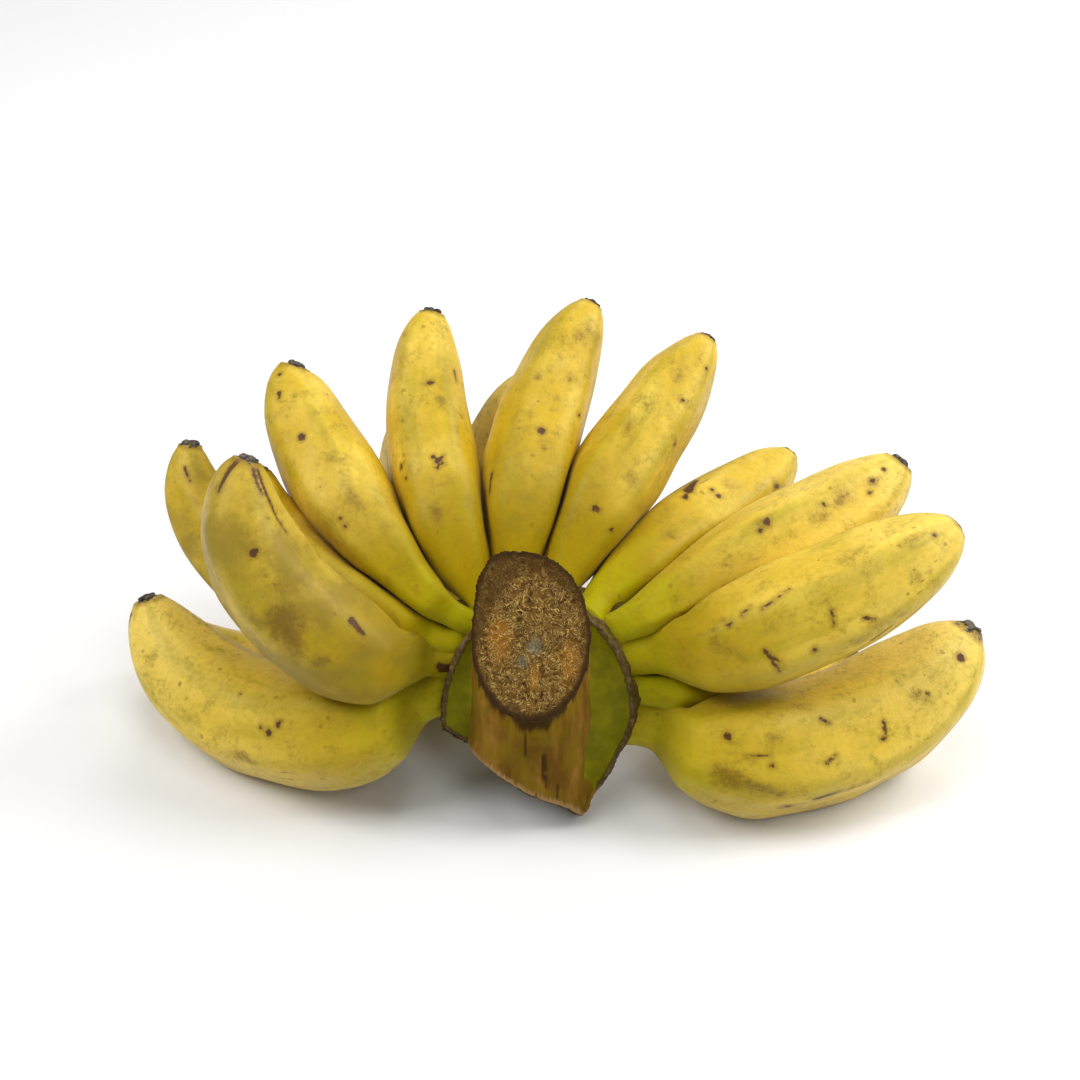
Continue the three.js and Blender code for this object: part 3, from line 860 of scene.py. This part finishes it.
RIPE = colour(0.61, 0.395, 0.004)
PALE = colour(0.8, 0.565, 0.065)
# Partly the palest peel towards the tips, partly painted light on the pale bananas.
PALEST_AND_PAINTED_LIGHT = colour(0.94, 0.69, 0.13)
BLOOM = colour(0.6, 0.44, 0.08)
# Partly the peel's own deeper yellow near the neck, partly painted shade there.
DEEP_AND_PAINTED_SHADE = colour(0.4, 0.265, 0.002)
OLIVE = colour(0.36, 0.29, 0.004)
BROWNED = colour(0.26, 0.18, 0.015)
CLOUDED = colour(0.27, 0.18, 0.01)
# Paler peel on the undersides of the bananas on the ground.
PALE_UNDERSIDE = colour(0.56, 0.44, 0.17)
# Painted shade on the undersides of the bananas that don't rest on the ground.
PAINTED_UNDERSIDE_SHADE = colour(0.2, 0.14, 0.001)
NECK_GREEN = colour(0.4, 0.375, 0.002)
SPOT_BROWN = colour(0.1, 0.042, 0.008)
BRUISE_BROWN = colour(0.17, 0.092, 0.008)
HALO_BROWN = colour(0.27, 0.15, 0.008)
DRY_GREY = colour(0.16, 0.135, 0.11)
DRY_BLACK = colour(0.03, 0.022, 0.016)


def peel_colour(n, key, straight, share):
    """The peel without its marks: blotches of yellow, olive streaks along it, browned parts, a green neck,
    and painted light and shade: deeper towards the neck, darker under the bananas off the ground, paler on
    the pale bananas.
    """
    fair_and_lit, tan, green = FAIR_AND_PAINTED_LIGHT.get(key, 0), TAN.get(key, USUAL_TAN), GREEN.get(key, USUAL_GREEN)
    blotch = n.ramp(n.noise(straight, 22 * MM, 5), 0.35, 0.65)
    # The pale bananas are paler all over: partly their own peel, partly painted light.
    tone = n.cover(n.cover(RIPE, PALE, blotch), PALE, fair_and_lit)
    tone = n.cover(tone, RIPE, n.ramp(n.attribute("ridge"), 0.3, -0.3), 0.3)
    bloom = n.ramp(n.noise(n.scaled(straight, (1, 1, 0.5)), 8 * MM, 6, 0.6), 0.5, 0.7)
    tone = n.cover(tone, BLOOM, bloom, 0.45)
    # Paler towards the tip, much more so on the pale bananas: partly their own colour, partly painted light.
    tone = n.cover(tone, PALEST_AND_PAINTED_LIGHT, n.ramp(share, 0.55, 0.9), 0.08 + 0.7 * fair_and_lit)
    towards_neck = n.plus(share, n.noise(straight, 18 * MM, 3), 0.3)
    # Deeper yellow towards the neck: partly the peel's own tone, partly painted shade near the crown; less on
    # the pale bananas.
    tone = n.cover(tone, DEEP_AND_PAINTED_SHADE, n.ramp(towards_neck, 0.72, 0.36, 0, 1 - 0.4 * fair_and_lit))
    streak = n.noise(n.scaled(straight, (1, 1, 0.25)), 9 * MM, 4, 0.6)
    tone = n.cover(tone, OLIVE, n.ramp(streak, 0.5, 0.72), 0.55)
    edge = n.plus(n.attribute("ridge"), n.noise(straight, 5 * MM), 0.6)
    tone = n.cover(tone, OLIVE, n.ramp(edge, 0.75, 1.15), 0.3)
    tone = n.cover(tone, BROWNED, 0.5 * max(0, tan - 0.4))
    brown = n.noise(straight, 16 * MM, 5, 0.6)
    browned = n.ramp(brown, 0.66 - 0.28 * tan, 0.85 - 0.22 * tan, 0, 0.35 + 0.45 * tan)
    tone = n.cover(tone, BROWNED, browned)
    # Undersides: paler on the bananas on the ground, painted shade on the others.
    underside_pale_or_painted_shade = n.times(n.attribute("below"), n.ramp(n.noise(straight, 4 * MM, 5, 0.7), 0.3, 0.6))
    tone = n.cover(tone, PALE_UNDERSIDE if key in RESTING else PAINTED_UNDERSIDE_SHADE, underside_pale_or_painted_shade, 0.6)
    green_from = n.plus(share, n.noise(straight, 14 * MM, 4), 0.3)
    green_neck = n.ramp(green_from, 0.26 + 0.26 * green, 0.16, 0, 0.3 + 0.7 * green)
    tone = n.cover(tone, NECK_GREEN, green_neck)
    cloud = n.ramp(n.noise(straight, 7 * MM, 6, 0.65), 0.45, 0.66)
    tone = n.cover(tone, CLOUDED, cloud, 0.2 - 0.1 * fair_and_lit)
    mottle = n.ramp(n.noise(straight, 1.8 * MM, 6, 0.8), 0.44, 0.64)
    tone = n.cover(tone, CLOUDED, n.times(mottle, n.plus(n.times(cloud, 0.4), 0.18)))
    return tone, brown, mottle


def freckles(n, straight, apart, largest, share_shown):
    """Small round freckles in a random pattern: 1 inside them."""
    cell = n.add("TexVoronoi", {"Vector": straight, "Scale": 1 / apart})
    chance = n.add("SeparateColor", {"Color": cell.outputs["Color"]}).outputs[0]
    radius = n.times(n.ramp(chance, 1 - share_shown, 1), largest / apart)
    away = n.plus(cell.outputs["Distance"], n.uneven(straight, 0.8 * MM, 0.3))
    return n.ramp(n.math("SUBTRACT", away, radius), 0.0, -0.05)


def marked(n, tone, straight):
    """The tone with freckles, scratches, soft bruises and dark spots on it, and how far the spots are."""
    scratch = n.ramp(n.noise(n.scaled(straight, (1, 1, 0.13)), 1.3 * MM, 2), 0.69, 0.75)
    scratched = n.times(scratch, n.ramp(n.noise(straight, 11 * MM), 0.5, 0.62))
    tone = n.cover(tone, HALO_BROWN, scratched, 0.6)
    tone = n.cover(tone, HALO_BROWN, freckles(n, straight, 4 * MM, 0.9 * MM, 0.4), 0.55)
    tone = n.cover(tone, SPOT_BROWN, freckles(n, straight, 11 * MM, 0.9 * MM, 0.22), 0.65)
    bruise = n.plus(n.attribute("bruise"), n.uneven(straight, 3.0 * MM, 7, 5, 0.65))
    tone = n.cover(tone, BRUISE_BROWN, n.ramp(bruise, 2.6, -4.0), 0.6)
    speckled = n.plus(bruise, n.uneven(straight, 1.2 * MM, 16, 5, 0.8))
    tone = n.cover(tone, BRUISE_BROWN, n.ramp(speckled, 0.6, -3.0), 0.5)
    spot = n.plus(n.attribute("spot"), n.uneven(straight, 1.1 * MM, 1.6, 4, 0.7))
    tone = n.cover(tone, HALO_BROWN, n.ramp(spot, 1.5, 0.1), 0.5)
    return n.cover(tone, SPOT_BROWN, n.ramp(spot, 0.35, -0.15)), spot


def peel_material(key):
    n = Nodes("peel_" + key)
    straight = n.attribute("straight", "Vector")
    share = n.attribute("share")
    tone, brown, mottle = peel_colour(n, key, straight, share)
    tone, spot = marked(n, tone, straight)
    from_tip = n.plus(n.attribute("from_tip"), n.noise(straight, 2 * MM, 4), 2.4)
    tone = n.cover(tone, HALO_BROWN, n.ramp(from_tip, 4.6, 2.9), 0.6)
    withered = 0.2 * WITHERED.get(key, 0)
    grey = n.ramp(n.noise(straight, 1.2 * MM, 4, 0.7), 0.4 - withered, 0.65 - withered)
    on_cap = n.ramp(from_tip, 2.9, 2.5)
    tone = n.cover(tone, n.cover(DRY_BLACK, DRY_GREY, grey), on_cap)
    n.plug(n.surface.inputs["Base Color"], tone)
    waxy = n.plus(n.ramp(brown, 0.3, 0.8, 0.42, 0.6), mottle, 0.06)
    n.plug(n.surface.inputs["Roughness"], n.math("MAXIMUM", waxy, n.times(on_cap, 0.95)))
    n.plug(n.surface.inputs["Specular IOR Level"], n.ramp(share, 0.1, 0.5, 0.05, 0.3))
    n.surface.inputs["Sheen Weight"].default_value = 0.05
    n.surface.inputs["Sheen Roughness"].default_value = 0.35
    pores = n.plus(n.noise(straight, 1.6 * MM, 5, 0.6), n.ramp(spot, 0.2, -0.6, 0, -0.6))
    n.bump(n.plus(pores, n.noise(straight, 0.7 * MM, 3), n.times(on_cap, 4)), 0.18 * MM)
    return n.material


# The crown's darkest brown: the sawn face's rim and dark fibres, the grooves and the slits, and the painted
# shadow under the lip.
CROWN_DARK_AND_PAINTED_SHADOW = colour(0.035, 0.016, 0.004)
CUT_MIDDLE = colour(0.18, 0.092, 0.016)
CUT_FIBRE = colour(0.62, 0.42, 0.13)
CUT_BROWNED = colour(0.065, 0.03, 0.005)
CUT_ORANGE = colour(0.32, 0.13, 0.012)
MOULD_GREY = colour(0.14, 0.16, 0.12)
WING_GREEN = colour(0.175, 0.165, 0.001)
WING_LIGHT = colour(0.29, 0.27, 0.002)
SCAR_BROWN = colour(0.075, 0.042, 0.014)
SCAR_PALE = colour(0.2, 0.13, 0.055)
BARK_DARK = colour(0.14, 0.066, 0.004)
BARK_LIGHT = colour(0.3, 0.155, 0.018)
BARK_OLIVE = colour(0.2, 0.13, 0.002)
TORN = colour(0.36, 0.22, 0.09)
# Partly the brown of the cushion between the necks, partly painted shade there and on the webs.
HOLLOW_BROWN_AND_PAINTED_SHADE = colour(0.07, 0.05, 0.003)
COLLAR_GREEN = colour(0.34, 0.31, 0.004)
COLLAR_TAN = colour(0.36, 0.25, 0.06)


def sawn_colour(n, place):
    """The fibrous sawn face: pale curled fibres on brown, orange and mouldy patches, and a dark rim."""
    curled = {"Vector": place, "Scale": 1 / (5.0 * MM), "Detail": 1.5, "Roughness": 0.5, "Distortion": 7.0}
    curl = n.add("TexNoise", curled).outputs[0]
    strand = n.math("ABSOLUTE", n.math("SUBTRACT", curl, 0.5))
    fibres = n.times(n.ramp(strand, 0.05, 0.005), n.ramp(n.noise(place, 1.6 * MM, 3), 0.36, 0.52))
    tone = n.cover(CROWN_DARK_AND_PAINTED_SHADOW, CUT_MIDDLE, n.ramp(n.noise(place, 1.4 * MM, 6, 0.75), 0.36, 0.6))
    patchy = n.times(n.noise(place, 2.0 * MM, 6, 0.8), 2.2)
    tone = n.cover(tone, CUT_ORANGE, n.ramp(n.plus(n.attribute("orange"), patchy), 1.15, 1.7), 0.6)
    tone = n.cover(tone, CUT_FIBRE, fibres, 0.75)
    tone = n.cover(tone, MOULD_GREY, n.ramp(n.plus(n.attribute("mould"), patchy), 1.2, 1.8), 0.45)
    uneven = n.uneven(place, 2.2 * MM, 0.2, 5, 0.65)
    tone = n.cover(tone, CUT_BROWNED, n.ramp(n.plus(n.attribute("browned"), uneven), -0.1, 0.08), 0.72)
    rim = n.plus(n.attribute("rim"), uneven, 0.4)
    return n.cover(tone, CROWN_DARK_AND_PAINTED_SHADOW, n.ramp(rim, 0.09, 0.04), 0.8), curl


def bark_colour(n, bark, place):
    """The skin of the stalk: streaks along it, torn at the foot, a painted shadow with dark hanging fibres
    under the lip, and dark in the slits.
    """
    streak = n.noise(n.scaled(bark, (0.3, 1, 1.0)), 26 * MM, 5, 0.62)
    tone = n.cover(BARK_DARK, BARK_LIGHT, n.ramp(streak, 0.36, 0.64))
    tone = n.cover(tone, BARK_OLIVE, n.ramp(n.noise(place, 9 * MM, 3), 0.42, 0.6), 0.6)
    tone = n.cover(tone, BARK_DARK, n.ramp(n.noise(place, 3 * MM, 5, 0.7), 0.5, 0.75), 0.35)
    torn = n.plus(n.attribute("from_foot"), n.noise(bark, 9 * MM, 5, 0.7), 5)
    tone = n.cover(tone, TORN, n.ramp(torn, 5.2, 3.4))
    # Painted shadow under the lip of the sawn face, with a ragged fringe of dark hanging fibres; deepest
    # below the middle of the lip.
    sideways = n.math("POWER", n.math("ABSOLUTE", n.attribute("across")), 3)
    below_lip = n.plus(n.attribute("from_lip"), sideways, 1.6)
    shade = n.plus(below_lip, n.uneven(n.scaled(bark, (0.5, 1, 0.6)), 22 * MM, 13, 6, 0.6))
    tone = n.cover(tone, CROWN_DARK_AND_PAINTED_SHADOW, n.ramp(shade, 5.0, 2.6), 0.85)
    slit = n.times(n.attribute("slit"), n.ramp(n.noise(place, 2.5 * MM), 0.1, 0.4))
    return n.cover(tone, CROWN_DARK_AND_PAINTED_SHADOW, slit, 0.85), streak


def crown_material():
    n = Nodes("crown_skin")
    place = n.add("TexCoord", {}).outputs["Object"]
    cut, skin, wing, scar, foot, groove = (
        n.attribute(key) for key in ("cut", "skin", "wing", "scar", "foot", "groove"))
    bark, streak = bark_colour(n, n.attribute("bark", "Vector"), place)
    sawn, curl = sawn_colour(n, place)
    green = n.cover(WING_GREEN, WING_LIGHT, n.ramp(n.noise(place, 6 * MM, 5, 0.6), 0.3, 0.75))
    near_scar = n.ramp(n.plus(scar, groove, 0.7), 0.0, 0.3)
    tan = n.times(n.ramp(n.noise(place, 4 * MM, 4), 0.35, 0.6), near_scar)
    neck = n.cover(COLLAR_GREEN, COLLAR_TAN, tan)
    # Between the necks, away from the collars, the crown takes the dark hollow colour: partly its own brown,
    # partly painted shade.
    tone = n.cover(HOLLOW_BROWN_AND_PAINTED_SHADE, neck, n.ramp(n.attribute("collar"), 0.25, 0.7))
    tone = n.cover(tone, CROWN_DARK_AND_PAINTED_SHADOW, groove, 0.8)
    tone = n.cover(tone, green, n.ramp(wing, 0.3, 0.7))
    ragged = n.plus(scar, n.uneven(place, 1.5 * MM, 0.7, 4))
    scar_tone = n.cover(SCAR_BROWN, SCAR_PALE, n.ramp(n.noise(place, 1.6 * MM, 5, 0.6), 0.35, 0.7))
    tone = n.cover(tone, CROWN_DARK_AND_PAINTED_SHADOW, n.ramp(ragged, 0.2, 0.4), 0.7)
    tone = n.cover(tone, scar_tone, n.ramp(ragged, 0.4, 0.7))
    tone = n.cover(tone, bark, n.ramp(skin, 0.3, 0.7))
    on_fibres = n.math("MAXIMUM", cut, foot)
    tone = n.cover(tone, sawn, n.ramp(on_fibres, 0.3, 0.7))
    n.plug(n.surface.inputs["Base Color"], tone)
    n.plug(n.surface.inputs["Roughness"], n.ramp(wing, 0.3, 0.7, 0.9, 0.6))
    n.surface.inputs["Specular IOR Level"].default_value = 0.12
    fibrous = n.times(curl, n.plus(on_fibres, 0.1))
    n.bump(n.plus(fibrous, streak, 0.5), 0.5 * MM)
    return n.material


# ---- building


def dress(obj, node, material):
    """Give a piece its material, hang it under the root body, and hide the solid it stands for."""
    obj.data.materials.append(material)
    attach(obj, "root")
    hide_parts(node)


def build_hand():
    low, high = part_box("crown")
    crown_centre = np.array((low + high) / 2)
    wing = FlatFace(*welded("crown"), WING_FACING)
    keys = sorted(node.removeprefix("finger_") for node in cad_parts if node.startswith("finger_"))
    stems = {key: Rings("finger_" + key, crown_centre) for key in keys}
    for seed, key in enumerate(keys, 1):
        banana = make_banana(key, stems[key], wing, seed)
        dress(banana, "finger_" + key, peel_material(key))
    dress(make_crown(wing, stems), "crown", crown_material())


# ---- camera, light and floor

# The place, the size and the power of each soft light.
LIGHTS = {
    "left": ((-0.65, -0.15, 0.85), 0.5, 6.0),
    "right": ((0.75, 0, 0.75), 0.5, 5.6),
    "right_back": ((0.75, 0.5, 0.6), 0.4, 3.5),
    "top": ((0, -0.05, 1.15), 0.6, 2.6),
    "front": ((0.3, -0.7, 0.75), 0.4, 1.6),
    "back": ((0.1, 1.6, 1.2), 0.9, 10),
}
WORLD_STRENGTH = 0.1
FLOOR_SIZE = 6
FLOOR_PALE = colour(0.9, 0.9, 0.9)


def view_aim():
    return Vector(np.array(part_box("crown")[0]) + AIM_FROM_CROWN)


def add_camera():
    camera = bpy.data.objects.new("camera", bpy.data.cameras.new("camera"))
    camera.location = view_aim() + VIEW_DISTANCE * Vector(TO_VIEWER)
    camera.rotation_euler = Vector(TO_VIEWER).to_track_quat("Z", "Y").to_euler()
    camera.data.lens = VIEW_LENS
    bpy.context.scene.collection.objects.link(camera)
    bpy.context.scene.camera = camera


def add_light(name, place, size, power):
    light = bpy.data.objects.new(name, bpy.data.lights.new(name, "AREA"))
    light.location = place
    light.rotation_euler = (Vector(place) - view_aim()).to_track_quat("Z", "Y").to_euler()
    light.data.size = size
    light.data.energy = power
    bpy.context.scene.collection.objects.link(light)


def add_studio():
    for name, (place, size, power) in LIGHTS.items():
        add_light(name, place, size, power)
    world = bpy.data.worlds.new("studio")
    world.use_nodes = True
    background = world.node_tree.nodes["Background"]
    background.inputs["Color"].default_value = colour(1, 1, 1)
    background.inputs["Strength"].default_value = WORLD_STRENGTH
    bpy.context.scene.world = world
    bpy.ops.mesh.primitive_plane_add(size=FLOOR_SIZE)
    floor = bpy.context.object
    floor.name = "floor"
    n = Nodes("pale_floor")
    n.surface.inputs["Base Color"].default_value = FLOOR_PALE
    n.surface.inputs["Roughness"].default_value = 0.9
    floor.data.materials.append(n.material)


bpy.context.scene.view_settings.view_transform = "Standard"
add_camera()
add_studio()
build_hand()
